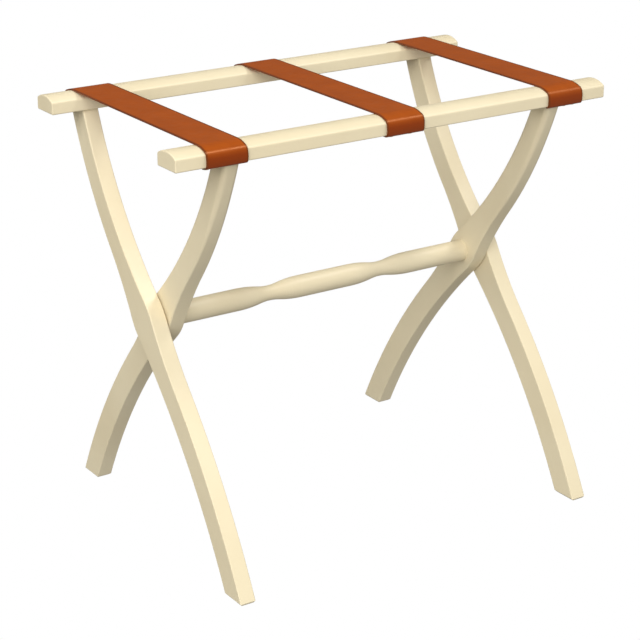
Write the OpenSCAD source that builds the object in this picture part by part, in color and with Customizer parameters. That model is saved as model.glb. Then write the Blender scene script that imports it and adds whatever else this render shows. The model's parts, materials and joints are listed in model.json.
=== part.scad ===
// Folding luggage rack: two curved X frames that pivot on each other and carry three straps.
// X runs along the rails, the front is -Y, and Z = 0 is the floor.
// The outer frame has the back rail and stands on its front feet.
// The inner frame has the front rail and the stretcher, and stands on its back feet.

/* [Rails] */
// Length of each rail
rail_l = 584; // [500:1:700]
// Width of each rail
rail_w = 38.5; // [35:0.5:46]
// Height of each rail at its crown
rail_h = 20; // [15:0.1:24]
// Radius of the crowned top
crown_r = 36; // [32:1:80]
// Radius of the upper long edges
rail_edge_r = 3; // [1:0.5:4]
// Radius of the lower long edges
rail_base_r = 1.5; // [0.5:0.5:2]
// Bevel round each end
rail_bevel = 1.6; // [0.4:0.2:3]
// Distance between the middles of the two rails
rail_spacing = 285; // [250:1:320]

/* [Legs] */
// Height of the rails' undersides above the floor
leg_h = 496; // [440:1:560]
// Thickness of each leg along the rails
leg_t = 20; // [16:0.2:24]
// Length of each rail past the outer faces of the outer legs
rail_overhang = 40.8; // [20:0.2:80]
// Gap between an outer leg and the inner leg beside it
leg_gap = 1.6; // [1:0.1:3]
// Distance from the rack's middle to the middle of each foot
foot_reach = 194; // [160:0.1:230]
// Width of a leg below its swelling
low_w = 31.5; // [24:0.1:36]
// Width of a leg above its swelling
top_w = 29; // [22:0.5:32]
// Radius of the lower half's curve, at the middle of its width
low_r = 888; // [600:1:1500]
// Radius of the upper half's curve, at the middle of its width
top_r = 534; // [350:1:700]
// Height of the pivot above the floor
pivot_h = 274.6; // [250:0.2:300]
// How far the lower half's curve passes below the pivot, and the upper half's above it
half_shift = 11.9; // [10:0.1:16]
// How far above and below the pivot the swelling meets the straight run of the leg
hub_rise = 24; // [20:1:30]
// Radius of the swelling at the pivot
hub_r = 75; // [50:1:100]
// Radius of the long hollow that leads into the swelling
hollow_r = 420; // [300:1:600]
// Bevel round the bottom of each foot
foot_bevel = 2.4; // [0.6:0.2:4]

/* [Stretcher] */
// Diameter of the turned stretcher
stretcher_d = 26.8; // [24:0.2:34]
// Diameter at its two necks
neck_d = 18.2; // [16:0.2:22]
// Distance from the middle to each neck
neck_x = 80; // [70:0.5:100]
// Radius of the hollow of a neck
neck_r = 70; // [40:1:90]
// Radius of the shoulders beside a neck
shoulder_r = 150; // [80:1:180]
// Diameter of the tenon at each end
tenon_d = 16; // [13:0.5:18]
// Length of each tenon
tenon_l = 10; // [6:0.5:11]

/* [Pivots] */
// Diameter of a pivot pin
pin_d = 8; // [5:0.5:10]
// Depth of a pin in the outer leg
pin_seat = 12; // [8:0.5:14]
// Depth of a pin in the stretcher's tenon
pin_reach = 7; // [3:0.5:8]
// Running clearance round a pin, on the radius
pin_fit = 0.05; // [0.03:0.01:0.1]
// Diameter of the washer between two legs
washer_d = 22; // [16:0.5:28]

/* [Straps] */
// Width of a strap
strap_w = 51; // [46:0.5:60]
// Thickness of a strap
strap_t = 1.6; // [1.2:0.1:3.2]
// Length of a strap's tail under the rail
strap_tail = 22; // [20:0.5:26]
// Clearance of a strap round the rails
strap_fit = 0.2; // [0.1:0.05:0.5]
// Clearance of a strap's tail round a leg
tail_fit = 1; // [0.5:0.1:2]

/* [Fixings] */
// Diameter of a dowel
dowel_d = 6; // [5:0.5:7]
// Depth of a dowel in the leg
dowel_in_leg = 16; // [12:0.5:20]
// Depth of a dowel in the rail
dowel_in_rail = 10; // [6:0.5:11]
// Distance between the two dowels of a leg
dowel_pitch = 10; // [9:0.5:11]
// Diameter of a strap screw
screw_d = 3; // [2.4:0.1:3.6]
// Depth of a strap screw in the rail
screw_in_rail = 9; // [6:0.5:10]
// Diameter of a strap screw's head
head_d = 6; // [5:0.1:7]
// Height of a strap screw's head
head_h = 1.7; // [1.4:0.1:1.9]
// Width and depth of the slot in a head
slot_w = 0.8; // [0.6:0.1:1]
// Diameter of the cup washer under a head
cup_d = 9.6; // [9:0.1:11]
// Height of the cup washer
cup_h = 2.4; // [2:0.1:3]
// Height of the cup washer's upright edge
cup_edge = 0.6; // [0.4:0.1:1]
// Clearance round a piece that is glued, pressed or clamped in place
seat_fit = 0.05; // [0.02:0.01:0.1]

/* [Hidden] */

LEFT = -1;
RIGHT = 1;
BACK = 1;
FRONT = -1;
MIDDLE = 0;
MIDDLE_SCREWS = [-2, 2];
END_SCREWS = [1, 3];
PAINT = "ivory";
TAN = "saddlebrown";
// How far a cut reaches past the face that it opens
over = 1;
// Half the length of the cuts across a foot or a rail
wide = 40;
// How far the sides of a curved outline lie inside the true curve
chord_depth = 0.02;
// Faces of the turned stretcher, and of the round holes and what fits in them
turned_faces = 48;
bore_faces = 32;

rail_y = rail_spacing / 2;
leg_x = rail_l / 2 - rail_overhang;
inner_x = leg_x - leg_t - leg_gap;
pair_x = (leg_x + inner_x - leg_t) / 2;
foot = [-foot_reach, 0];
head = [rail_y, leg_h];
low_c = arc_centre(foot, [0, pivot_h - half_shift], low_r);
top_c = arc_centre(head, [0, pivot_h + half_shift], top_r);
washer_t = leg_gap - 2 * seat_fit;
stretcher_half = inner_x - leg_t;
dowel_y = at_height(top_c, top_r, leg_h - dowel_in_leg / 2, 1)[0];
tail_end = rail_y + rail_w / 2 - strap_tail;
screw_y = rail_y + (rail_w - strap_tail) / 2;
tail_base = leg_h - strap_fit - strap_t;
cup_base = tail_base - seat_fit - cup_h;

// A vector's own direction
function unit(v) = v / norm(v);

// Centre of the arc of radius r from a to b that lies to the right of the way from a to b
function arc_centre(a, b, r) =
    let (half = norm(b - a) / 2, along = unit(b - a))
    (a + b) / 2 + sqrt(r * r - half * half) * [along[1], -along[0]];

// Meeting point of two circles that lies to the left of the way from c to d
function meeting(c, rc, d, rd) =
    let (gap = norm(d - c), along = unit(d - c), run = (gap * gap + rc * rc - rd * rd) / (2 * gap))
    c + run * along + sqrt(rc * rc - run * run) * [-along[1], along[0]];

// Point of a circle at height z, on the side given by way
function at_height(c, r, z, way) = [c[0] + way * sqrt(r * r - (z - c[1]) * (z - c[1])), z];

// A point with the radius of the side that starts there
function side(p, r) = [p[0], p[1], r];

// Points of the side from a to b, without b. The side bulges to the right of the way with a
// radius above 0 and to the left with one below 0, and is straight at 0.
function side_points(a, b, r) =
    r == 0 ? [a] :
    let (centre = r > 0 ? arc_centre(b, a, r) : arc_centre(a, b, -r),
         start = atan2(a[1] - centre[1], a[0] - centre[0]),
         sweep = 2 * asin(norm(b - a) / (2 * r)),
         count = ceil(abs(sweep) / (2 * acos(1 - chord_depth / abs(r)))))
    [for (i = [0 : count - 1]) centre + abs(r) * [cos(start + sweep * i / count),
                                                   sin(start + sweep * i / count)]];

// A closed flat shape whose points run anticlockwise. Each point is [x, y, r], and r is the
// radius of the side that starts there: 0 is straight, above 0 swells out, below 0 hollows in.
module outline(points) {
    flat = [for (p = points) [p[0], p[1]]];
    polygon([for (i = [0 : len(points) - 1])
        each side_points(flat[i], flat[(i + 1) % len(points)], points[i][2])]);
}

// Stands a flat shape drawn in Y and Z up, and gives it a thickness from x onward
module upright(x, thickness) {
    translate([x, 0, 0]) rotate([90, 0, 90]) linear_extrude(thickness) children();
}

// Moves what is built for the right-hand side to either side
module on_side(way) {
    mirror([way == LEFT ? 1 : 0, 0, 0]) children();
}

// Moves what is built for the back to the back or the front
module on_row(way) {
    mirror([0, way == FRONT ? 1 : 0, 0]) children();
}

// A cylinder along X from x onward, at the pivot's height
module pivot_rod(x, d, length) {
    translate([x, 0, pivot_h]) rotate([0, 90, 0]) cylinder(d = d, h = length, $fn = bore_faces);
}

// Section of a rail, grown by g on every side. With a spread above 0 it is the outline round
// two rails that stand that far from the middle, with a flat top between their crowns.
function rail_section(g, spread) =
    let (half = rail_w / 2 + g,
         top = rail_h + g,
         round_r = crown_r + g,
         edge_r = rail_edge_r + g,
         base_r = rail_base_r + g,
         crown_c = [0, top - round_r],
         edge_c = [half - edge_r, crown_c[1] + sqrt(pow(round_r - edge_r, 2) - pow(half - edge_r, 2))],
         turn = crown_c + round_r * unit(edge_c - crown_c),
         out = spread + half)
    concat([[base_r - out, -g, 0],
            [out - base_r, -g, base_r],
            [out, base_r - g, 0],
            [out, edge_c[1], edge_r],
            [spread + turn[0], turn[1], round_r]],
           spread > 0 ? [[spread, top, 0], [-spread, top, round_r]] : [],
           [[-spread - turn[0], turn[1], edge_r],
            [-out, edge_c[1], 0],
            [-out, base_r - g, base_r]]);

// Flat outline of a leg of the outer frame, from its front foot to its top at the back
module leg_outline() {
    front_low_r = low_r + low_w / 2;
    back_low_r = low_r - low_w / 2;
    front_top_r = top_r - top_w / 2;
    back_top_r = top_r + top_w / 2;
    front_hub = at_height(top_c, front_top_r, pivot_h + hub_rise, 1);
    back_hub = at_height(low_c, back_low_r, pivot_h - hub_rise, -1);
    front_c = top_c + (front_top_r + hub_r) * unit(front_hub - top_c);
    back_c = low_c + (back_low_r + hub_r) * unit(back_hub - low_c);
    front_hollow = meeting(low_c, front_low_r + hollow_r, front_c, hub_r + hollow_r);
    back_hollow = meeting(top_c, back_top_r + hollow_r, back_c, hub_r + hollow_r);
    front_foot = at_height(low_c, front_low_r, 0, -1);
    back_foot = at_height(low_c, back_low_r, 0, -1);
    outline([
        side(back_foot - [foot_bevel, 0], 0),
        side(at_height(low_c, back_low_r, foot_bevel, -1), -back_low_r),
        side(back_hub, hub_r),
        side(back_c + hub_r * unit(back_hollow - back_c), -hollow_r),
        side(top_c + back_top_r * unit(back_hollow - top_c), back_top_r),
        side(at_height(top_c, back_top_r, leg_h, 1), 0),
        side(at_height(top_c, front_top_r, leg_h, 1), -front_top_r),
        side(front_hub, hub_r),
        side(front_c + hub_r * unit(front_hollow - front_c), -hollow_r),
        side(low_c + front_low_r * unit(front_hollow - low_c), front_low_r),
        side(at_height(low_c, front_low_r, foot_bevel, -1), 0),
        side(front_foot + [foot_bevel, 0], 0)
    ]);
}

// What the bevels on the foot's two sides take away from a leg that starts at x
module foot_side_bevels(x) {
    for (edge = [[x, 1], [x + leg_t, -1]])
        translate([edge[0], wide - foot_reach, 0]) rotate([90, 0, 0]) linear_extrude(2 * wide)
            polygon([[-over * edge[1], -over], [(foot_bevel + over) * edge[1], -over],
                     [-over * edge[1], foot_bevel + over]]);
}

// The right-hand leg of the outer frame, with its inner face at x and its dowel holes
module plain_leg(x) {
    difference() {
        upright(x, leg_t) leg_outline();
        foot_side_bevels(x);
        dowel_pair(x, dowel_d + 2 * seat_fit, dowel_in_leg + seat_fit, over);
    }
}

// Two upright rods at a leg's top: the dowels, or the holes for them
module dowel_pair(x, d, below, above) {
    for (shift = [-dowel_pitch / 2, dowel_pitch / 2])
        translate([x + leg_t / 2, dowel_y + shift, leg_h - below])
            cylinder(d = d, h = below + above, $fn = bore_faces);
}

// Flat shape of a rail's end bevels, seen along one of its other two directions
module bevelled(length, low, high) {
    half = length / 2;
    polygon([[-half + rail_bevel, low], [half - rail_bevel, low], [half, low + rail_bevel],
             [half, high - rail_bevel], [half - rail_bevel, high], [-half + rail_bevel, high],
             [-half, high - rail_bevel], [-half, low + rail_bevel]]);
}

// The back rail, drilled for the dowels of the legs that start at leg_start
module plain_rail(leg_start, screw_way) {
    difference() {
        intersection() {
            translate([0, rail_y, leg_h]) upright(-rail_l / 2, rail_l) outline(rail_section(0, 0));
            translate([0, rail_y, leg_h]) linear_extrude(rail_h)
                bevelled(rail_l, -rail_w / 2, rail_w / 2);
            translate([0, rail_y + wide, leg_h]) rotate([90, 0, 0]) linear_extrude(2 * wide)
                bevelled(rail_l, 0, rail_h);
        }
        for (way = [LEFT, RIGHT]) on_side(way)
            dowel_pair(leg_start, dowel_d + 2 * seat_fit, over, dowel_in_rail + seat_fit);
        at_screws(screw_way) translate([0, 0, leg_h - over])
            cylinder(d = screw_d + 2 * seat_fit, h = screw_in_rail + over + seat_fit, $fn = bore_faces);
    }
}

// Puts its children at the strap screws of the back row. The end straps' screws lie beside the
// legs, on the side of the leg pair's middle that way gives.
module at_screws(way) {
    at_steps(0, MIDDLE_SCREWS) children();
    for (end = [LEFT, RIGHT]) at_steps(end * pair_x, end * way * END_SCREWS) children();
}

// Puts its children at the screws of one strap in the back row, in eighths of its width from x
module at_steps(x, steps) {
    for (step = steps) translate([x + step * strap_w / 8, screw_y, 0]) children();
}

// Drilled holes for one strap's screws in a tail of the back row, round the strap's middle at x
module tail_holes(x, steps) {
    at_steps(x, steps) translate([0, 0, tail_base - over])
        cylinder(d = screw_d + 2 * strap_fit, h = strap_t + 2 * over, $fn = bore_faces);
}

// A strap round both rails, from tail to tail, with its middle at x = 0
module plain_strap() {
    translate([0, 0, leg_h]) upright(-strap_w / 2, strap_w) difference() {
        outline(rail_section(strap_fit + strap_t, rail_y));
        outline(rail_section(strap_fit, rail_y));
        translate([-tail_end, -strap_t - strap_fit - over]) square([2 * tail_end, strap_t + 2 * over]);
    }
}

// What is cut off a strap's tail in the back row between two places along the rail, from its end
// to just past the leg's back
module tail_cut(from, to) {
    leg_back = at_height(top_c, top_r + top_w / 2, leg_h, 1)[0];
    translate([from, 0, tail_base - over])
        cube([to - from, leg_back + tail_fit, strap_t + over + strap_fit]);
}

// The strap over the right-hand leg pair: each tail is cut to the part that passes beside the leg
module end_strap() {
    half = strap_w / 2 + over;
    difference() {
        translate([pair_x, 0, 0]) plain_strap();
        tail_cut(leg_x - leg_t - tail_fit, pair_x + half);
        on_row(FRONT) tail_cut(pair_x - half, inner_x + tail_fit);
        tail_holes(pair_x, LEFT * END_SCREWS);
        on_row(FRONT) tail_holes(pair_x, RIGHT * END_SCREWS);
    }
}

module back_rail() {
    color(PAINT) plain_rail(leg_x - leg_t, LEFT);
}

module front_rail() {
    color(PAINT) on_row(FRONT) plain_rail(inner_x - leg_t, RIGHT);
}

// A leg of the outer frame, with a blind hole in its inner face for the pivot pin
module outer_leg(way) {
    color(PAINT) on_side(way) difference() {
        plain_leg(leg_x - leg_t);
        pivot_rod(leg_x - leg_t - over, pin_d + 2 * seat_fit, pin_seat + over + seat_fit);
    }
}

// A leg of the inner frame: the pin runs in its outer half, and the stretcher's tenon fills
// a socket in its inner face
module inner_leg(way) {
    color(PAINT) on_side(way) difference() {
        on_row(FRONT) plain_leg(inner_x - leg_t);
        pivot_rod(inner_x - leg_t - over, pin_d + 2 * pin_fit, leg_t + 2 * over);
        pivot_rod(inner_x - leg_t - over, tenon_d + 2 * seat_fit, tenon_l + over + seat_fit);
    }
}

// Half outline of the stretcher's neck at x: a shoulder, the hollow and the other shoulder
function neck(x) =
    let (blend = neck_r + shoulder_r,
         run = sqrt(pow(blend, 2) - pow(blend - (stretcher_d - neck_d) / 2, 2)),
         near = run * neck_r / blend,
         near_h = neck_d / 2 + neck_r - sqrt(pow(neck_r, 2) - pow(near, 2)))
    [[stretcher_d / 2, x - run, shoulder_r], [near_h, x - near, -neck_r],
     [near_h, x + near, shoulder_r], [stretcher_d / 2, x + run, 0]];

// The turned stretcher: three long swellings with two necks between them, and a tenon at
// each end that is bored for the pivot pin
module stretcher() {
    tenon_end = stretcher_half + tenon_l;
    color(PAINT) difference() {
        translate([0, 0, pivot_h]) rotate([0, 90, 0]) rotate_extrude($fn = turned_faces)
            outline(concat(
                [[0, -tenon_end, 0], [tenon_d / 2, -tenon_end, 0],
                 [tenon_d / 2, -stretcher_half, 0], [stretcher_d / 2, -stretcher_half, 0]],
                neck(-neck_x),
                neck(neck_x),
                [[stretcher_d / 2, stretcher_half, 0], [tenon_d / 2, stretcher_half, 0],
                 [tenon_d / 2, tenon_end, 0], [0, tenon_end, 0]]));
        for (way = [LEFT, RIGHT]) on_side(way)
            pivot_rod(tenon_end - pin_reach - seat_fit, pin_d + 2 * pin_fit,
                      pin_reach + seat_fit + over);
    }
}

module strap(way) {
    color(TAN) if (way == MIDDLE) {
        difference() {
            plain_strap();
            for (row = [BACK, FRONT]) on_row(row) tail_holes(0, MIDDLE_SCREWS);
        }
    } else {
        on_side(way) end_strap();
    }
}

// A pivot pin, from its seat in the outer leg to its end in the stretcher's tenon
module pivot_pin(way) {
    start = stretcher_half + tenon_l - pin_reach;
    color("silver") on_side(way) pivot_rod(start, pin_d, leg_x - leg_t + pin_seat - start);
}

// The washer that keeps two legs apart at the pivot
module pivot_washer(way) {
    color("silver") on_side(way) difference() {
        pivot_rod(inner_x + seat_fit, washer_d, washer_t);
        pivot_rod(inner_x - over, pin_d + 2 * seat_fit, leg_gap + 2 * over);
    }
}

// The four dowels between one rail and its two legs
module dowels(row, leg_start) {
    color("burlywood") for (way = [LEFT, RIGHT]) on_side(way) on_row(row)
        dowel_pair(leg_start, dowel_d, dowel_in_leg, dowel_in_rail);
}

// A row of countersunk screws, each with a slot across its head
module strap_screws(row, way) {
    color("gold") on_row(row) at_screws(way) translate([0, 0, cup_base]) difference() {
        rotate_extrude($fn = bore_faces) polygon([
            [0, 0], [head_d / 2, 0], [screw_d / 2, head_h],
            [screw_d / 2, leg_h - cup_base + screw_in_rail],
            [0, leg_h - cup_base + screw_in_rail]]);
        cube([head_d + over, slot_w, slot_w], center = true);
    }
}

// A row of cup washers, each with a countersunk bore and a sloping rim
module strap_washers(row, way) {
    lip = head_d / 2 + 2 * seat_fit;
    throat = screw_d / 2 + 2 * seat_fit;
    rim = (lip + cup_d / 2) / 2;
    color("gold") on_row(row) at_screws(way) translate([0, 0, cup_base]) rotate_extrude($fn = bore_faces)
        polygon([[lip, 0], [rim, 0], [cup_d / 2, cup_h - cup_edge], [cup_d / 2, cup_h],
                 [throat, cup_h], [throat, head_h]]);
}

back_rail();
front_rail();
outer_leg(LEFT);  // outer_leg_left
outer_leg(RIGHT);  // outer_leg_right
inner_leg(LEFT);  // inner_leg_left
inner_leg(RIGHT);  // inner_leg_right
stretcher();
strap(LEFT);  // strap_left
strap(MIDDLE);  // strap_middle
strap(RIGHT);  // strap_right
pivot_pin(LEFT);  // pivot_pin_left
pivot_pin(RIGHT);  // pivot_pin_right
pivot_washer(LEFT);  // pivot_washer_left
pivot_washer(RIGHT);  // pivot_washer_right
dowels(BACK, leg_x - leg_t);  // back_dowels
dowels(FRONT, inner_x - leg_t);  // front_dowels
strap_screws(BACK, LEFT);  // back_strap_screws
strap_screws(FRONT, RIGHT);  // front_strap_screws
strap_washers(BACK, LEFT);  // back_strap_washers
strap_washers(FRONT, RIGHT);  // front_strap_washers
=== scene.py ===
"""Dresses the folding luggage rack: painted frames with eased edges, leather straps and metal.

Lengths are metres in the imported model's own frame: X runs along the rails, the front is at -Y and
the floor is at Z = 0.
"""

from __future__ import annotations

import json
import logging
import math
from collections.abc import Callable
from dataclasses import dataclass, field
from enum import Enum

import bmesh
import bpy
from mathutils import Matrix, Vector

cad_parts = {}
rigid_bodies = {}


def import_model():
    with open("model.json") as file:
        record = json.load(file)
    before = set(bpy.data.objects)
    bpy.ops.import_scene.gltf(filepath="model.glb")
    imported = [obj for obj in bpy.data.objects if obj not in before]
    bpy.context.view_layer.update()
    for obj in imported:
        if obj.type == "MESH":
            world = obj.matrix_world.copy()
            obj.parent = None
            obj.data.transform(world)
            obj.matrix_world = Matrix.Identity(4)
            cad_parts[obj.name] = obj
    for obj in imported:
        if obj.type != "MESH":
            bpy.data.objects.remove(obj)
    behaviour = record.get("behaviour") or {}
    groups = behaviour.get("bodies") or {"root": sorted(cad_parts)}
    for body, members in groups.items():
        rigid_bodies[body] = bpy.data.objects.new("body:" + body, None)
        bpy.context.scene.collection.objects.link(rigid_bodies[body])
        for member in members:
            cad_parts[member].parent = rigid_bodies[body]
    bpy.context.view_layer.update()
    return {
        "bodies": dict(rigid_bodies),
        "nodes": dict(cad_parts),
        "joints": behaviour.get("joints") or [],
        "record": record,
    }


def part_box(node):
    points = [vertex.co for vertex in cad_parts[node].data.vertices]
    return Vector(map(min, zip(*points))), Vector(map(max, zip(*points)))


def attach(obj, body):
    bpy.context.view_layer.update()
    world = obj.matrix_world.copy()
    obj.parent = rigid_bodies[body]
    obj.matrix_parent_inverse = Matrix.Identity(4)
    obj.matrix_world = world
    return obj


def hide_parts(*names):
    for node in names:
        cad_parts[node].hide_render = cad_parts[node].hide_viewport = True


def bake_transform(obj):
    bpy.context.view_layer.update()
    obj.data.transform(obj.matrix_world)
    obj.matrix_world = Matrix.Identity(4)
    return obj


LOG = logging.getLogger("luggage_rack")

# Points closer than SAME_POINT are one point, and places that differ by less than NEAR are level.
SAME_POINT = 1e-6
NEAR = 1e-5
# Faces that turn by less than FLAT_ANGLE are one flat face, and shading breaks from SHARP_ANGLE on.
FLAT_ANGLE = math.radians(0.2)
SHARP_ANGLE = math.radians(40)
# A Mix node has sockets of the same name for each kind of value, so its colours go by number.
MIX_FIRST, MIX_SECOND, MIX_RESULT = 6, 7, 2
STRAP_PLACE = "strap_place"

Colour = tuple[float, float, float]
Place = tuple[float, float, float]
Span = tuple[float, float]
EdgeRule = Callable[[bmesh.types.BMEdge], bool]


class Body(str, Enum):
    """The two frames that turn on each other."""

    OUTER = "outer_frame"
    INNER = "inner_frame"


class Slot(str, Enum):
    """The record's material slots."""

    PAINT = "cream_paint"
    LEATHER = "tan_leather"
    STEEL = "steel"
    BRASS = "brass"
    WOOD = "plain_wood"


def select_only(piece: bpy.types.Object) -> None:
    """Makes a piece the only selected object and the active one.

    Args:
        piece: The object to select.
    """
    bpy.ops.object.select_all(action="DESELECT")
    piece.select_set(True)
    bpy.context.view_layer.objects.active = piece


def add_object(name: str, data: bpy.types.ID) -> bpy.types.Object:
    """Puts a mesh, a light or a camera into the scene.

    Args:
        name: The new object's name.
        data: The mesh, light or camera.

    Returns:
        The new object, at the origin.
    """
    made = bpy.data.objects.new(name, data)
    bpy.context.scene.collection.objects.link(made)
    return made


def turn_towards(item: bpy.types.Object, target: Vector) -> None:
    """Turns a camera or a lamp towards a point."""
    item.rotation_euler = (target - item.location).to_track_quat("-Z", "Y").to_euler()


def apply_modifier(piece: bpy.types.Object, kind: str, **settings: object) -> None:
    """Adds a modifier to a piece and applies it at once.

    Args:
        piece: The object to change.
        kind: Blender's name for the modifier's type.
        **settings: The modifier's own settings.
    """
    select_only(piece)
    modifier = piece.modifiers.new(kind.title(), kind)
    for name, value in settings.items():
        setattr(modifier, name, value)
    bpy.ops.object.modifier_apply(modifier=modifier.name)


def select_edges(piece: bpy.types.Object, wanted: EdgeRule) -> int:
    """Selects a mesh's edges in edit mode by a rule, and nothing else.

    Args:
        piece: The object in edit mode.
        wanted: Takes an edge and says whether it is selected.

    Returns:
        How many edges were selected.
    """
    bpy.ops.mesh.select_all(action="DESELECT")
    bpy.ops.mesh.select_mode(type="EDGE")
    mesh = bmesh.from_edit_mesh(piece.data)
    chosen = [edge for edge in mesh.edges if wanted(edge)]
    for edge in chosen:
        edge.select_set(True)
    bmesh.update_edit_mesh(piece.data)
    return len(chosen)


def copy_of_node(node: bpy.types.Object, name: str) -> bpy.types.Object:
    """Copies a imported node's mesh into a new piece and joins its loose triangles into whole faces.

    Args:
        node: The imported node's object.
        name: The new piece's name.

    Returns:
        The new piece, at the origin.
    """
    piece = add_object(name, node.data.copy())
    select_only(piece)
    if piece.data.has_custom_normals:
        bpy.ops.mesh.customdata_custom_splitnormals_clear()
    bpy.ops.object.mode_set(mode="EDIT")
    bpy.ops.mesh.select_all(action="SELECT")
    bpy.ops.mesh.remove_doubles(threshold=SAME_POINT)
    bpy.ops.mesh.dissolve_limited(angle_limit=FLAT_ANGLE)
    bpy.ops.object.mode_set(mode="OBJECT")
    return piece


def even_shading(piece: bpy.types.Object) -> None:
    """Shades a piece smoothly, and keeps its wide faces flat beside small roundings.

    Args:
        piece: The object to shade.
    """
    select_only(piece)
    bpy.ops.object.shade_smooth_by_angle(angle=SHARP_ANGLE)
    apply_modifier(piece, "WEIGHTED_NORMAL", keep_sharp=True)


@dataclass(frozen=True)
class Pattern:
    """A noise pattern: features to a metre, finer layers, their strength, and the values used."""

    scale: float
    detail: float = 2.0
    roughness: float = 0.5
    span: Span | None = None


class Recipe:
    """A node material that is written down node by node."""

    def __init__(self, name: str) -> None:
        """Starts a material with one main shader that is wired to its output.

        Args:
            name: The material's name.
        """
        self.material = bpy.data.materials.new(name)
        self.material.use_nodes = True
        self.tree = self.material.node_tree
        self.tree.nodes.clear()
        self.shader = self.node("ShaderNodeBsdfPrincipled")
        output = self.node("ShaderNodeOutputMaterial")
        self.wire(self.shader.outputs["BSDF"], output.inputs["Surface"])

    def node(self, kind: str, **settings: object) -> bpy.types.Node:
        """Adds a node.

        Args:
            kind: Blender's name for the node's type.
            **settings: The node's own settings.

        Returns:
            The new node.
        """
        made = self.tree.nodes.new(kind)
        for name, value in settings.items():
            setattr(made, name, value)
        return made

    def wire(self, source: bpy.types.NodeSocket, target: bpy.types.NodeSocket) -> None:
        """Joins an output to an input."""
        self.tree.links.new(source, target)

    def feed(self, socket: str, source: bpy.types.NodeSocket) -> None:
        """Joins an output to one of the main shader's sockets."""
        self.wire(source, self.shader.inputs[socket])

    def set(self, **values: object) -> None:
        """Sets the main shader's sockets, with underscores for the spaces in their names."""
        for name, value in values.items():
            self.shader.inputs[name.replace("_", " ")].default_value = value

    def own_place(self) -> bpy.types.NodeSocket:
        """Gives a point's place in its piece's own coordinates."""
        return self.node("ShaderNodeTexCoord").outputs["Object"]

    def noise(self, place: bpy.types.NodeSocket, pattern: Pattern,
              result: Span = (0.0, 1.0)) -> bpy.types.NodeSocket:
        """Adds a noise pattern.

        Args:
            place: The coordinates that it reads.
            pattern: How it looks.
            result: What the ends of the pattern's span become, where it has one.

        Returns:
            The pattern's value.
        """
        made = self.node("ShaderNodeTexNoise")
        made.inputs["Scale"].default_value = pattern.scale
        made.inputs["Detail"].default_value = pattern.detail
        made.inputs["Roughness"].default_value = pattern.roughness
        self.wire(place, made.inputs["Vector"])
        value = made.outputs["Fac"]
        return value if pattern.span is None else self.ranged(value, pattern.span, result)

    def ranged(self, value: bpy.types.NodeSocket, span: Span,
               result: Span = (0.0, 1.0)) -> bpy.types.NodeSocket:
        """Maps a value, with both ends held.

        Args:
            value: The value to map.
            span: Between which values it is read.
            result: What the ends of that span become.

        Returns:
            The mapped value.
        """
        made = self.node("ShaderNodeMapRange")
        names = ("From Min", "From Max", "To Min", "To Max")
        for name, number in zip(names, (*span, *result)):
            made.inputs[name].default_value = number
        self.wire(value, made.inputs["Value"])
        return made.outputs["Result"]

    def absolute(self, value: bpy.types.NodeSocket) -> bpy.types.NodeSocket:
        """Takes the sign off a value.

        Args:
            value: The value.

        Returns:
            Its size.
        """
        made = self.node("ShaderNodeMath", operation="ABSOLUTE")
        self.wire(value, made.inputs[0])
        return made.outputs[0]

    def blended(self, share: bpy.types.NodeSocket, first: Colour | bpy.types.NodeSocket,
                second: Colour | bpy.types.NodeSocket) -> bpy.types.NodeSocket:
        """Mixes two colours, each given as numbers or as another node's colour.

        Args:
            share: How much of the second colour there is, from 0 to 1.
            first: The first colour.
            second: The second colour.

        Returns:
            The mixed colour.
        """
        made = self.node("ShaderNodeMix", data_type="RGBA")
        self.wire(share, made.inputs["Factor"])
        for number, colour in ((MIX_FIRST, first), (MIX_SECOND, second)):
            if isinstance(colour, bpy.types.NodeSocket):
                self.wire(colour, made.inputs[number])
            else:
                made.inputs[number].default_value = (*colour, 1.0)
        return made.outputs[MIX_RESULT]

    def relief(self, height: bpy.types.NodeSocket, depth: float,
               below: bpy.types.NodeSocket | None = None) -> bpy.types.NodeSocket:
        """Adds fine relief, over another relief where one is given.

        Args:
            height: The relief's pattern.
            depth: How deep it is, in metres.
            below: The coarser relief that it lies on.

        Returns:
            The surface's direction.
        """
        made = self.node("ShaderNodeBump")
        made.inputs["Strength"].default_value = 1.0
        made.inputs["Distance"].default_value = depth
        self.wire(height, made.inputs["Height"])
        if below is not None:
            self.wire(below, made.inputs["Normal"])
        return made.outputs["Normal"]


@dataclass(frozen=True)
class SatinPaint:
    """Cream paint, rubbed smooth, on every wooden piece of both frames."""

    cream: Colour = (0.80, 0.70, 0.482)
    warm: Colour = (0.765, 0.66, 0.442)
    tone: Pattern = Pattern(9.0, 3.0, span=(0.35, 0.65))
    sheen: Pattern = Pattern(160.0, 3.0, span=(0.3, 0.7))
    roughness: Span = (0.37, 0.48)
    specular: float = 0.45
    ripple: Pattern = Pattern(45.0)
    ripple_depth: float = 0.0003
    peel: Pattern = Pattern(700.0)
    peel_depth: float = 0.00002

    def material(self) -> bpy.types.Material:
        """Writes the paint: soft changes of tone, a faint ripple and fine specks of sheen.

        Returns:
            The material.
        """
        recipe = Recipe("satin_cream_paint")
        place = recipe.own_place()
        tone = recipe.noise(place, self.tone)
        recipe.feed("Base Color", recipe.blended(tone, self.warm, self.cream))
        recipe.feed("Roughness", recipe.noise(place, self.sheen, self.roughness))
        ripple = recipe.relief(recipe.noise(place, self.ripple), self.ripple_depth)
        peel = recipe.relief(recipe.noise(place, self.peel), self.peel_depth, ripple)
        recipe.feed("Normal", peel)
        recipe.set(Specular_IOR_Level=self.specular)
        return recipe.material


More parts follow.
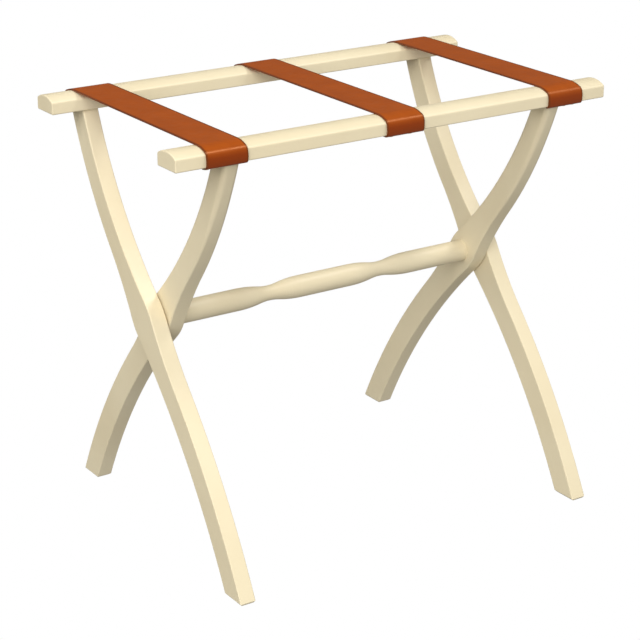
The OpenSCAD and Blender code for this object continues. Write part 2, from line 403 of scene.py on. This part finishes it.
@dataclass(frozen=True)
class SmoothLeather:
    """Tan bridle leather with burnished edges, and painted shade where it runs down the rails'
    sides.

    It reads the straps' own place attribute: across, along and through the strap, from its middle.
    The burnish is measured in from a long edge, and the painted shade out from the strap's middle.
    """

    tan: Colour = (0.405, 0.078, 0.0035)
    deep: Colour = (0.345, 0.064, 0.0025)
    # Painted shade: the colour the leather is darkened to where it runs down the rails' sides and
    # under them.
    painted_shade: Colour = (0.19, 0.020, 0.001)
    burnish: Colour = (0.14, 0.026, 0.003)
    cloud: Pattern = Pattern(30.0, 5.0, 0.55, (0.32, 0.68))
    half_width: float = 0.0255
    burnish_start: float = 0.0026
    burnish_full: float = 0.0013
    painted_shade_span: Span = (0.158, 0.168)
    painted_shade_share: float = 0.85
    gloss: Pattern = Pattern(120.0, 3.0, span=(0.3, 0.7))
    roughness: Span = (0.36, 0.44)
    specular: float = 0.9
    gloss_tint: Colour = (1.0, 0.5, 0.2)
    wrinkles: Pattern = Pattern(260.0, 4.0, 0.6)
    wrinkle_depth: float = 0.00004
    pore_scale: float = 900.0
    pore_depth: float = 0.000015

    def material(self) -> bpy.types.Material:
        """Writes the leather: cloudy dye, painted shade towards the ends, fine pores and a dark rim
        along both edges.

        Returns:
            The material.
        """
        recipe = Recipe("tan_bridle_leather")
        place = recipe.node("ShaderNodeAttribute", attribute_name=STRAP_PLACE).outputs["Vector"]
        split = recipe.node("ShaderNodeSeparateXYZ")
        recipe.wire(place, split.inputs["Vector"])
        dyed = recipe.blended(recipe.noise(place, self.cloud), self.deep, self.tan)
        # Painted shade: from the bend over each rail's upper edge on, down its side and under it,
        # the dye darkens towards a shaded colour.
        along = recipe.absolute(split.outputs["Y"])
        painted_shade = recipe.ranged(along, self.painted_shade_span, (0.0, self.painted_shade_share))
        shaded_dye = recipe.blended(painted_shade, dyed, self.painted_shade)
        across = recipe.absolute(split.outputs["X"])
        rim = recipe.ranged(across, (self.half_width - self.burnish_start,
                                     self.half_width - self.burnish_full))
        recipe.feed("Base Color", recipe.blended(rim, shaded_dye, self.burnish))
        recipe.feed("Roughness", recipe.noise(place, self.gloss, self.roughness))
        pores = recipe.node("ShaderNodeTexVoronoi", feature="SMOOTH_F1")
        pores.inputs["Scale"].default_value = self.pore_scale
        recipe.wire(place, pores.inputs["Vector"])
        wrinkles = recipe.relief(recipe.noise(place, self.wrinkles), self.wrinkle_depth)
        recipe.feed("Normal", recipe.relief(pores.outputs["Distance"], self.pore_depth, wrinkles))
        recipe.set(Specular_IOR_Level=self.specular, Specular_Tint=(*self.gloss_tint, 1.0))
        return recipe.material


@dataclass(frozen=True)
class Metal:
    """A plain metal with fine scratches and a little tarnish."""

    name: str
    colour: Colour
    roughness: Span
    scratches: Pattern = Pattern(1400.0, 4.0, span=(0.3, 0.7))
    tarnish: Pattern = Pattern(220.0, 3.0, span=(0.35, 0.65))
    tarnished: float = 0.8

    def material(self) -> bpy.types.Material:
        """Writes the metal.

        Returns:
            The material.
        """
        recipe = Recipe(self.name)
        place = recipe.own_place()
        recipe.feed("Roughness", recipe.noise(place, self.scratches, self.roughness))
        dull = tuple(self.tarnished * channel for channel in self.colour)
        tarnish = recipe.noise(place, self.tarnish)
        recipe.feed("Base Color", recipe.blended(tarnish, dull, self.colour))
        recipe.set(Metallic=1.0)
        return recipe.material


@dataclass(frozen=True)
class BareWood:
    """Unfinished hardwood, for the dowels."""

    light: Colour = (0.52, 0.34, 0.17)
    dark: Colour = (0.36, 0.21, 0.09)
    grain: Pattern = Pattern(900.0, 4.0)
    grain_stretch: tuple[float, float, float] = (1.0, 1.0, 0.08)
    grain_depth: float = 0.00005
    roughness: float = 0.7

    def material(self) -> bpy.types.Material:
        """Writes the wood with its grain along Z.

        Returns:
            The material.
        """
        recipe = Recipe("bare_hardwood")
        along = recipe.node("ShaderNodeMapping")
        along.inputs["Scale"].default_value = self.grain_stretch
        recipe.wire(recipe.own_place(), along.inputs["Vector"])
        grain = recipe.noise(along.outputs["Vector"], self.grain)
        recipe.feed("Base Color", recipe.blended(grain, self.dark, self.light))
        recipe.feed("Normal", recipe.relief(grain, self.grain_depth))
        recipe.set(Roughness=self.roughness)
        return recipe.material


@dataclass(frozen=True)
class LegEdges:
    """Tells a leg's edges apart by their place and by how hard they are."""

    low: Vector
    high: Vector
    pivot: Place
    hub_clear: float = 0.012
    long_angle: float = math.radians(60)
    foot_angle: float = math.radians(25)
    foot_height: float = 0.0035

    def is_hard(self, edge: bmesh.types.BMEdge, angle: float) -> bool:
        """Tells whether two faces meet at an edge and turn there by more than an angle."""
        return edge.is_manifold and edge.calc_face_angle() > angle

    def at_side(self, edge: bmesh.types.BMEdge) -> bool:
        """Tells whether an edge lies in one of the leg's two flat sides."""
        sides = (self.low.x, self.high.x)
        return all(min(abs(v.co.x - side) for side in sides) < NEAR for v in edge.verts)

    def at_hub(self, edge: bmesh.types.BMEdge) -> bool:
        """Tells whether an edge belongs to the hole at the pivot."""
        _, y, z = self.pivot
        return all(math.hypot(v.co.y - y, v.co.z - z) < self.hub_clear for v in edge.verts)

    def is_long(self, edge: bmesh.types.BMEdge) -> bool:
        """Tells whether an edge is one of those that run from the foot to the rail.

        Args:
            edge: The edge.

        Returns:
            Whether it is.
        """
        at_top = all(v.co.z > self.high.z - NEAR for v in edge.verts)
        hard = self.is_hard(edge, self.long_angle)
        return hard and self.at_side(edge) and not at_top and not self.at_hub(edge)

    def is_foot(self, edge: bmesh.types.BMEdge) -> bool:
        """Tells whether an edge is one of those round the foot.

        Args:
            edge: The edge.

        Returns:
            Whether it is.
        """
        top = self.low.z + self.foot_height
        return self.is_hard(edge, self.foot_angle) and all(v.co.z < top for v in edge.verts)


@dataclass
class EasedFrame:
    """One painted frame: its rail and its two legs, whose hard edges are sanded round.

    A leg's long edges are rounded by leg_edge below swell_from, and by top_edge above swell_to.
    """

    frame: dict
    body: Body
    rail: str
    legs: tuple[str, str]
    paint: bpy.types.Material
    top_edge: float
    leg_edge: float = 0.0014
    swell_from: float = 0.32
    swell_to: float = 0.46
    leg_segments: int = 5
    foot_edge: float = 0.0008
    foot_segments: int = 2
    rail_end: float = 0.0014
    end_cut: float = 0.0022
    end_steps: int = 5

    def build(self) -> list[bpy.types.Object]:
        """Makes the legs and the rail, and returns them."""
        return [*(self.eased_leg(leg) for leg in self.legs), self.eased_rail()]

    def dress(self, piece: bpy.types.Object, node: str) -> bpy.types.Object:
        """Paints a piece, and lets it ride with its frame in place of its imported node.

        Args:
            piece: The shaped piece.
            node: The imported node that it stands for.

        Returns:
            The same piece.
        """
        piece.data.materials.clear()
        piece.data.materials.append(self.paint)
        even_shading(piece)
        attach(piece, self.body.value)
        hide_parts(node)
        return piece

    def eased_leg(self, node: str) -> bpy.types.Object:
        """Rounds a leg's long edges, more towards the rail, and the edges round its foot.

        Args:
            node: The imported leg.

        Returns:
            The painted leg.
        """
        piece = copy_of_node(self.frame["nodes"][node], f"{node}_painted")
        low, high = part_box(node)
        edges = LegEdges(low, high, tuple(self.frame["joints"][0]["pos_m"]))
        long_edges = self.weigh_edges(piece, edges.is_long)
        apply_modifier(piece, "BEVEL", width=self.top_edge, segments=self.leg_segments,
                       limit_method="WEIGHT", use_clamp_overlap=False)
        bpy.ops.object.mode_set(mode="EDIT")
        foot_edges = select_edges(piece, edges.is_foot)
        bpy.ops.mesh.bevel(offset=self.foot_edge, offset_type="OFFSET", segments=self.foot_segments,
                           affect="EDGES", clamp_overlap=True)
        bpy.ops.object.mode_set(mode="OBJECT")
        LOG.info("%s: %d long edges and %d foot edges rounded", piece.name, long_edges, foot_edges)
        return self.dress(piece, node)

    def weigh_edges(self, piece: bpy.types.Object, wanted: EdgeRule) -> int:
        """Sets how far each wanted edge is rounded, as a share of the rounding at the rail.

        Args:
            piece: The leg.
            wanted: Takes an edge and says whether it is rounded.

        Returns:
            How many edges are rounded.
        """
        mesh = bmesh.new()
        mesh.from_mesh(piece.data)
        weight = mesh.edges.layers.float.new("bevel_weight_edge")
        chosen = [edge for edge in mesh.edges if wanted(edge)]
        for edge in chosen:
            height = sum(v.co.z for v in edge.verts) / len(edge.verts)
            rise = (height - self.swell_from) / (self.swell_to - self.swell_from)
            share = min(1.0, max(0.0, rise))
            rounding = self.leg_edge + share * (self.top_edge - self.leg_edge)
            edge[weight] = rounding / self.top_edge
        mesh.to_mesh(piece.data)
        mesh.free()
        return len(chosen)

    def eased_rail(self) -> bpy.types.Object:
        """Rounds the edges round both ends of the rail evenly.

        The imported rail's ends have flat bevels. They are cut off square, the cuts are drawn out,
        and each is inset step by step along a quarter circle, up to the rail's full length.

        Returns:
            The painted rail.
        """
        piece = copy_of_node(self.frame["nodes"][self.rail], f"{self.rail}_painted")
        low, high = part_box(self.rail)
        angles = [math.pi / 2 * step / self.end_steps for step in range(self.end_steps + 1)]
        bpy.ops.object.mode_set(mode="EDIT")
        for end, way in ((low.x, -1), (high.x, 1)):
            bpy.ops.mesh.select_all(action="SELECT")
            bpy.ops.mesh.bisect(plane_co=(end - way * self.end_cut, 0, 0), plane_no=(way, 0, 0),
                                use_fill=True, clear_outer=True)
            bpy.ops.transform.translate(value=(way * (self.end_cut - self.rail_end), 0, 0))
            for before, after in zip(angles, angles[1:]):
                bpy.ops.mesh.inset(
                    thickness=self.rail_end * (math.cos(before) - math.cos(after)),
                    depth=self.rail_end * (math.sin(after) - math.sin(before)))
        bpy.ops.object.mode_set(mode="OBJECT")
        return self.dress(piece, self.rail)


@dataclass(frozen=True)
class Bend:
    """One arc of the leather's inner side, seen along the rail.

    Its angles run from the outward way towards the top.
    """

    centre: Vector
    radius: float
    start: float
    end: float

    def point(self, angle: float) -> Vector:
        """Gives the arc's point at an angle."""
        return self.centre + self.radius * Vector((0, math.cos(angle), math.sin(angle)))

    def points(self, parts: int) -> list[Vector]:
        """Gives the arc's points from its start to its end, a number of equal parts apart."""
        span = self.end - self.start
        return [self.point(self.start + span * part / parts) for part in range(parts + 1)]


@dataclass
class StrapSet:
    """The three leather straps, each laid round both rails with its tails screwed under them.

    crown_radius, edge_radius and base_radius are the rail's own. The leather lies on its top and
    bottom, stands a little off its side, and bends more gently than its edges.
    """

    leather: bpy.types.Material
    clearance: float = 0.0002
    tail: float = 0.022
    leg_clearance: float = 0.001
    crown_radius: float = 0.036
    edge_radius: float = 0.003
    base_radius: float = 0.0015
    stand_off: float = 0.0007
    edge_bend: float = 0.006
    side_bend: float = 0.022
    rounding: float = 0.0005
    rounding_segments: int = 3
    rounding_angle: float = math.radians(50)
    weld: float = 0.00002
    tail_steps: int = 4
    base_steps: int = 6
    side_steps: int = 6
    edge_steps: int = 9
    lead_steps: int = 2
    crown_steps: int = 8
    crossing_steps: int = 36
    path_steps: int = 8
    middle_y: float = field(init=False)
    tail_end: float = field(init=False)
    wood_under: float = field(init=False)
    under: float = field(init=False)
    thickness: float = field(init=False)
    bends: tuple[Bend, Bend, Bend, Bend] = field(init=False)

    def __post_init__(self) -> None:
        """Reads the back rail's place, and works out how the leather bends round it."""
        low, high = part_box("back_rail")
        _, strap_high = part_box("strap_middle")
        self.middle_y = (low.y + high.y) / 2
        self.tail_end = high.y - self.tail
        self.wood_under = low.z
        self.under = low.z - self.clearance
        self.thickness = strap_high.z - high.z - self.clearance
        self.bends = self.bends_round(high)

    def bends_round(self, high: Vector) -> tuple[Bend, Bend, Bend, Bend]:
        """Works out the four bends of the leather's inner side, each tangent to the next.

        Args:
            high: The back rail's highest corner, at its outer side.

        Returns:
            The bends under the base edge, along the side, over the upper edge and on the crown.
        """
        reach = high.y - self.middle_y - self.edge_radius
        rise = math.sqrt((self.crown_radius - self.edge_radius) ** 2 - reach**2)
        crown = Vector((0, self.middle_y, high.z - self.crown_radius))
        wood_edge = crown + Vector((0, reach, rise))
        crown_bend = self.crown_radius + self.clearance
        base_bend = self.base_radius + self.stand_off
        base = Vector((0, high.y - self.base_radius, self.under + base_bend))
        spare = self.edge_bend - self.edge_radius - self.clearance
        touch = math.acos(1 - (self.stand_off - self.clearance) / spare)
        edge = wood_edge - spare * Vector((0, math.cos(touch), math.sin(touch)))
        side = self.meeting_point(base, self.side_bend - base_bend, edge,
                                  self.side_bend - self.edge_bend)
        low_angle = math.atan2(base.z - side.z, base.y - side.y)
        high_angle = math.atan2(edge.z - side.z, edge.y - side.y)
        lean = math.acos((crown_bend - self.edge_bend) / (edge - crown).length)
        leave = math.atan2(edge.z - crown.z, edge.y - crown.y) + lean
        return (Bend(base, base_bend, -math.pi / 2, low_angle),
                Bend(side, self.side_bend, low_angle, high_angle),
                Bend(edge, self.edge_bend, high_angle, leave),
                Bend(crown, crown_bend, leave, math.pi / 2))

    def meeting_point(self, first: Vector, first_reach: float, second: Vector,
                      second_reach: float) -> Vector:
        """Finds the point that lies at a given distance from each of two others.

        Args:
            first: The lower point.
            first_reach: Its distance from the result.
            second: The upper point.
            second_reach: Its distance from the result.

        Returns:
            The point, on the side of the rail's middle.
        """
        way = second - first
        run = (way.length_squared + first_reach**2 - second_reach**2) / (2 * way.length)
        aside = math.sqrt(first_reach**2 - run**2)
        unit = way.normalized()
        return first + run * unit + aside * Vector((0, -unit.z, unit.y))

    def build(self) -> list[bpy.types.Object]:
        """Makes the straps, and returns them."""
        return [self.strap(node) for node in ("strap_left", "strap_middle", "strap_right")]

    def strap(self, node: str) -> bpy.types.Object:
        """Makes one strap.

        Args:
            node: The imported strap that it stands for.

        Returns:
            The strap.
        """
        low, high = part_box(node)
        piece = self.ribbon(f"{node}_leather", low.x, high.x)
        self.trim_tails(piece)
        self.face_outwards(piece)
        apply_modifier(piece, "SOLIDIFY", thickness=self.thickness, offset=1.0,
                       use_even_offset=True)
        apply_modifier(piece, "BEVEL", width=self.rounding, segments=self.rounding_segments,
                       limit_method="ANGLE", angle_limit=self.rounding_angle)
        apply_modifier(piece, "WELD", merge_threshold=self.weld)
        self.write_place(piece, (low.x + high.x) / 2)
        piece.data.materials.append(self.leather)
        even_shading(piece)
        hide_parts(node)
        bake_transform(piece)
        2 * self.half_length()
        return piece

    def ribbon(self, name: str, left: float, right: float) -> bpy.types.Object:
        """Lays a strip along the inner side of a strap from the back tail up, and mirrors it.

        Args:
            name: The new piece's name.
            left: Where the strap starts along X.
            right: Where it ends.

        Returns:
            The strip, without thickness, at the origin.
        """
        base, side, edge, crown = self.bends
        step = (base.centre.y - self.tail_end) / self.tail_steps
        first_middle = self.tail_end + step / 2
        bpy.ops.object.select_all(action="DESELECT")
        bpy.ops.mesh.primitive_plane_add(size=1.0,
                                         location=((left + right) / 2, first_middle, self.under))
        piece = bpy.context.object
        piece.name = piece.data.name = name
        piece.scale = (right - left, step, 1.0)
        bpy.ops.object.transform_apply(location=True, rotation=True, scale=True)
        bpy.ops.object.mode_set(mode="EDIT")
        select_edges(piece, lambda found: all(v.co.y > first_middle for v in found.verts))
        self.extrude(Vector((0, step * (self.tail_steps - 1), 0)), self.tail_steps - 1)
        self.turn(base, self.base_steps)
        self.turn(side, self.side_steps)
        self.turn(edge, self.edge_steps)
        self.extrude(crown.point(crown.start) - edge.point(edge.end), self.lead_steps)
        self.turn(crown, self.crown_steps)
        self.extrude(Vector((0, -self.middle_y, 0)), self.crossing_steps)
        bpy.ops.object.mode_set(mode="OBJECT")
        apply_modifier(piece, "MIRROR", use_axis=(False, True, False), merge_threshold=NEAR)
        return piece

    def extrude(self, way: Vector, count: int) -> None:
        """Extrudes the selected edge along a way in a number of equal parts."""
        for _ in range(count):
            bpy.ops.mesh.extrude_region_move(TRANSFORM_OT_translate={"value": way / count})

    def turn(self, bend: Bend, steps: int) -> None:
        """Spins the selected edge through a bend, in a number of equal parts."""
        bpy.ops.mesh.spin(steps=steps, angle=bend.start - bend.end, center=bend.centre,
                          axis=(1, 0, 0))

    def trim_tails(self, piece: bpy.types.Object) -> None:
        """Cuts the tails away where they would lie on a leg, or on the leg's narrow side.

        Args:
            piece: The strip, still without thickness.
        """
        for leg in ("outer_leg_left", "outer_leg_right", "inner_leg_left", "inner_leg_right"):
            low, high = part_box(leg)
            xs = [vertex.co.x for vertex in piece.data.vertices]
            if min(xs) > high.x or max(xs) < low.x:
                continue
            row = 1 if leg.startswith("outer") else -1
            reach = max(row * low.y, row * high.y) + self.leg_clearance
            if low.x - min(xs) > max(xs) - high.x:
                self.cut_corner(piece, low.x - self.leg_clearance, 1, reach, row)
            else:
                self.cut_corner(piece, high.x + self.leg_clearance, -1, reach, row)

    def cut_corner(self, piece: bpy.types.Object, cut: float, way: int, reach: float,
                   row: int) -> None:
        """Cuts a corner off a tail.

        Args:
            piece: The strip, still without thickness.
            cut: Where the corner starts along X.
            way: Towards which end of X it goes on from there, 1 or -1.
            reach: How far it reaches from the middle of the rack.
            row: 1 at the back rail and -1 at the front rail.
        """
        select_only(piece)
        bpy.ops.object.mode_set(mode="EDIT")
        for place, direction in (((cut, 0, 0), (1, 0, 0)), ((0, row * reach, 0), (0, 1, 0))):
            bpy.ops.mesh.select_all(action="SELECT")
            bpy.ops.mesh.bisect(plane_co=place, plane_no=direction)
        mesh = bmesh.from_edit_mesh(piece.data)
        bpy.ops.mesh.select_all(action="DESELECT")
        bpy.ops.mesh.select_mode(type="FACE")
        for face in mesh.faces:
            middle = face.calc_center_median()
            beside = way * middle.x > way * cut
            below = middle.z < self.wood_under
            face.select_set(beside and below and 0 < row * middle.y < reach)
        bmesh.update_edit_mesh(piece.data)
        bpy.ops.mesh.delete(type="FACE")
        bpy.ops.object.mode_set(mode="OBJECT")

    def face_outwards(self, piece: bpy.types.Object) -> None:
        """Turns the strip's faces away from the rails.

        Args:
            piece: The strip, still without thickness.
        """
        select_only(piece)
        bpy.ops.object.mode_set(mode="EDIT")
        bpy.ops.mesh.select_all(action="SELECT")
        bpy.ops.mesh.normals_make_consistent(inside=False)
        mesh = bmesh.from_edit_mesh(piece.data)
        top = max(mesh.faces, key=lambda face: face.calc_center_median().z)
        if top.normal.z < 0:
            bpy.ops.mesh.flip_normals()
        bpy.ops.object.mode_set(mode="OBJECT")

    def path(self) -> list[tuple[Vector, float]]:
        """Finds the inner path of the back half.

        Returns:
            Its points from the tail's end to the strap's middle, each with the length up to it.
        """
        points = [Vector((0, self.tail_end, self.under))]
        for bend in self.bends:
            points.extend(bend.points(self.path_steps))
        points.append(Vector((0, 0, points[-1].z)))
        marked = [(points[0], 0.0)]
        for before, after in zip(points, points[1:]):
            marked.append((after, marked[-1][1] + (after - before).length))
        return marked

    def half_length(self) -> float:
        """Gives the length of half a strap, along its inner side."""
        return self.path()[-1][1]

    def write_place(self, piece: bpy.types.Object, middle_x: float) -> None:
        """Stores each point's place on the strap as laid flat: across, along and through it.

        Args:
            piece: The strap with its full shape.
            middle_x: The strap's middle along X.
        """
        path = self.path()
        places: list[float] = []
        for vertex in piece.data.vertices:
            point = Vector((0, abs(vertex.co.y), vertex.co.z))
            found = (math.inf, 0.0)
            for (before, run), (after, _) in zip(path, path[1:]):
                way = after - before
                share = (point - before).dot(way) / max(way.length_squared, SAME_POINT**2)
                share = max(0.0, min(1.0, share))
                gap = (point - before - share * way).length
                found = min(found, (gap, run + share * way.length))
            along = path[-1][1] - found[1]
            places.extend((vertex.co.x - middle_x, math.copysign(along, vertex.co.y), found[0]))
        attribute = piece.data.attributes.new(STRAP_PLACE, "FLOAT_VECTOR", "POINT")
        attribute.data.foreach_set("vector", places)


@dataclass(frozen=True)
class Studio:
    """The white floor, the soft lights, and the camera at the photograph's angle.

    The room fades from front_light to rear_light over room_fade, which is measured along Y on a
    ball of radius 1 round the rack.
    """

    camera_place: Place = (-1.2221, -1.8317, 1.0549)
    aim: Place = (-0.0089, -0.0050, 0.2267)
    lens: float = 108.05
    sensor: float = 36.0
    floor_size: float = 30.0
    window_place: Place = (-2.57, -2.57, 2.90)
    window_size: float = 5.0
    window_power: float = 221.0
    fill_place: Place = (0.46, -0.27, 0.85)
    fill_strength: float = 0.98
    fill_spread: float = math.radians(14)
    rear_place: Place = (-0.53, 0.63, 0.57)
    rear_strength: float = 0.71
    rear_spread: float = math.radians(40)
    front_light: float = 0.40
    rear_light: float = 0.12
    room_fade: Span = (-0.2, 0.4)

    def build(self) -> None:
        """Sets up the camera, the floor, the lights and the room."""
        self.camera()
        self.floor()
        self.window()
        self.far_light("fill", self.fill_place, self.fill_strength, self.fill_spread)
        self.far_light("rear", self.rear_place, self.rear_strength, self.rear_spread)
        self.room()
        bpy.context.scene.view_settings.view_transform = "Standard"

    def camera(self) -> None:
        """Places the camera and aims it."""
        data = bpy.data.cameras.new("view")
        data.lens = self.lens
        data.sensor_width = self.sensor
        camera = add_object("view", data)
        camera.location = self.camera_place
        turn_towards(camera, Vector(self.aim))
        bpy.context.scene.camera = camera

    def floor(self) -> None:
        """Lays a white floor that glows evenly and throws no light back on the rack."""
        bpy.ops.object.select_all(action="DESELECT")
        bpy.ops.mesh.primitive_plane_add(size=self.floor_size, location=(0, 0, 0))
        floor = bpy.context.object
        floor.name = "floor"
        recipe = Recipe("white_floor")
        recipe.set(Base_Color=(0.0, 0.0, 0.0, 1.0), Specular_IOR_Level=0.0,
                   Emission_Color=(1.0, 1.0, 1.0, 1.0), Emission_Strength=1.0)
        floor.data.materials.append(recipe.material)
        floor.visible_diffuse = False
        floor.visible_glossy = False
        floor.visible_shadow = False

    def window(self) -> None:
        """Hangs the wide soft main light to the front left, near enough to fade towards the right.

        It is left out of reflections, as through a polariser, so that no strap glares from behind.
        """
        data = bpy.data.lights.new("window", "AREA")
        data.shape = "DISK"
        data.size = self.window_size
        data.energy = self.window_power
        lamp = add_object("window", data)
        lamp.location = self.window_place
        lamp.visible_glossy = False
        turn_towards(lamp, Vector(self.aim))

    def far_light(self, name: str, place: Place, strength: float, spread: float) -> None:
        """Adds a light that comes from a direction.

        Args:
            name: The light's name.
            place: The direction that it comes from, seen from the rack.
            strength: Its strength.
            spread: How wide it looks from the rack, in radians.
        """
        data = bpy.data.lights.new(name, "SUN")
        data.energy = strength
        data.angle = spread
        lamp = add_object(name, data)
        lamp.location = place
        turn_towards(lamp, Vector())

    def room(self) -> None:
        """Surrounds the rack with a room that is darker at the rear and looks white behind it."""
        world = bpy.data.worlds.new("room")
        world.use_nodes = True
        tree = world.node_tree
        background = tree.nodes["Background"]
        background.inputs["Color"].default_value = (1.0, 1.0, 1.0, 1.0)
        way = tree.nodes.new("ShaderNodeTexCoord")
        split = tree.nodes.new("ShaderNodeSeparateXYZ")
        tree.links.new(way.outputs["Generated"], split.inputs["Vector"])
        depth = tree.nodes.new("ShaderNodeMapRange")
        names = ("From Min", "From Max", "To Min", "To Max")
        for name, number in zip(names, (*self.room_fade, self.front_light, self.rear_light)):
            depth.inputs[name].default_value = number
        tree.links.new(split.outputs["Y"], depth.inputs["Value"])
        seen = tree.nodes.new("ShaderNodeLightPath")
        strength = tree.nodes.new("ShaderNodeMapRange")
        tree.links.new(depth.outputs["Result"], strength.inputs["To Min"])
        tree.links.new(seen.outputs["Is Camera Ray"], strength.inputs["Value"])
        tree.links.new(strength.outputs["Result"], background.inputs["Strength"])
        bpy.context.scene.world = world


def finish_nodes(frame: dict, finishes: dict[Slot, bpy.types.Material]) -> None:
    """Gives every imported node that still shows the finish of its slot.

    Args:
        frame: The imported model.
        finishes: The material of each slot.
    """
    for subpart in frame["record"]["subparts"]:
        node = frame["nodes"][subpart["node"]]
        if not node.hide_render:
            node.data.materials.clear()
            node.data.materials.append(finishes[Slot(subpart["material_slot"])])
            LOG.info("%s: %s", node.name, subpart["material_slot"])


def main() -> None:
    """Builds the dressed rack in its studio."""
    logging.basicConfig(level=logging.INFO, format="%(message)s")
    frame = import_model()
    Studio().build()
    finishes = {
        Slot.PAINT: SatinPaint().material(),
        Slot.LEATHER: SmoothLeather().material(),
        Slot.STEEL: Metal("turned_steel", (0.56, 0.57, 0.58), roughness=(0.24, 0.42)).material(),
        Slot.BRASS: Metal("brass", (0.78, 0.56, 0.25), roughness=(0.20, 0.38)).material(),
        Slot.WOOD: BareWood().material(),
    }
    paint = finishes[Slot.PAINT]
    outer_legs = ("outer_leg_left", "outer_leg_right")
    inner_legs = ("inner_leg_left", "inner_leg_right")
    pieces = [
        *EasedFrame(frame, Body.OUTER, "back_rail", outer_legs, paint, top_edge=0.0018).build(),
        *EasedFrame(frame, Body.INNER, "front_rail", inner_legs, paint, top_edge=0.0065).build(),
        *StrapSet(finishes[Slot.LEATHER]).build(),
    ]
    finish_nodes(frame, finishes)
    for piece in pieces:
        LOG.info("%s: %d faces", piece.name, len(piece.data.polygons))


if __name__ == "__main__":
    main()
